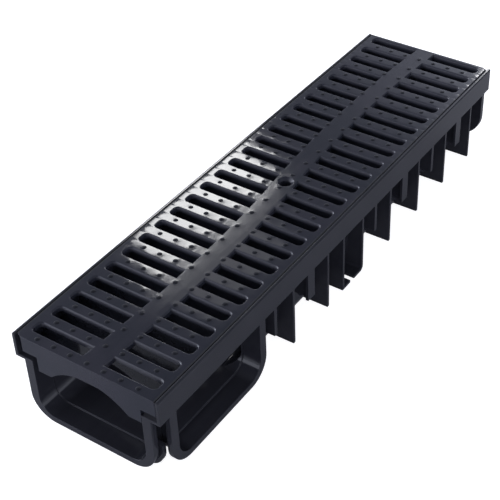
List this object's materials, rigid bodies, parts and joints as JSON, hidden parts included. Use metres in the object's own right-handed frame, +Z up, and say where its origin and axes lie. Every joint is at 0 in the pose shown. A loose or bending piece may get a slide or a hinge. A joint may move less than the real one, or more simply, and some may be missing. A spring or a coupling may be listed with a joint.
{
  "type": "drainage channel",
  "caption": "Low moulded channel section with flanged rim, ribs across the outside, open collared ends, an open side outlet and a slotted grating with a wavy spine laid in the rim.",
  "frame": {"origin": "on the ground under the middle of the channel", "axes": "+X along the channel away from the end with the side outlet, +Z up, the outlet opens towards -Y"},
  "size_m": [0.5, 0.13, 0.076],
  "materials": {
    "channel_plastic": "fine moulded grain",
    "grating_plastic": "satin"
  },
  "bodies": {
    "root": {"channel_body": "channel_plastic", "grating": "grating_plastic"}
  },
  "joints": []
}
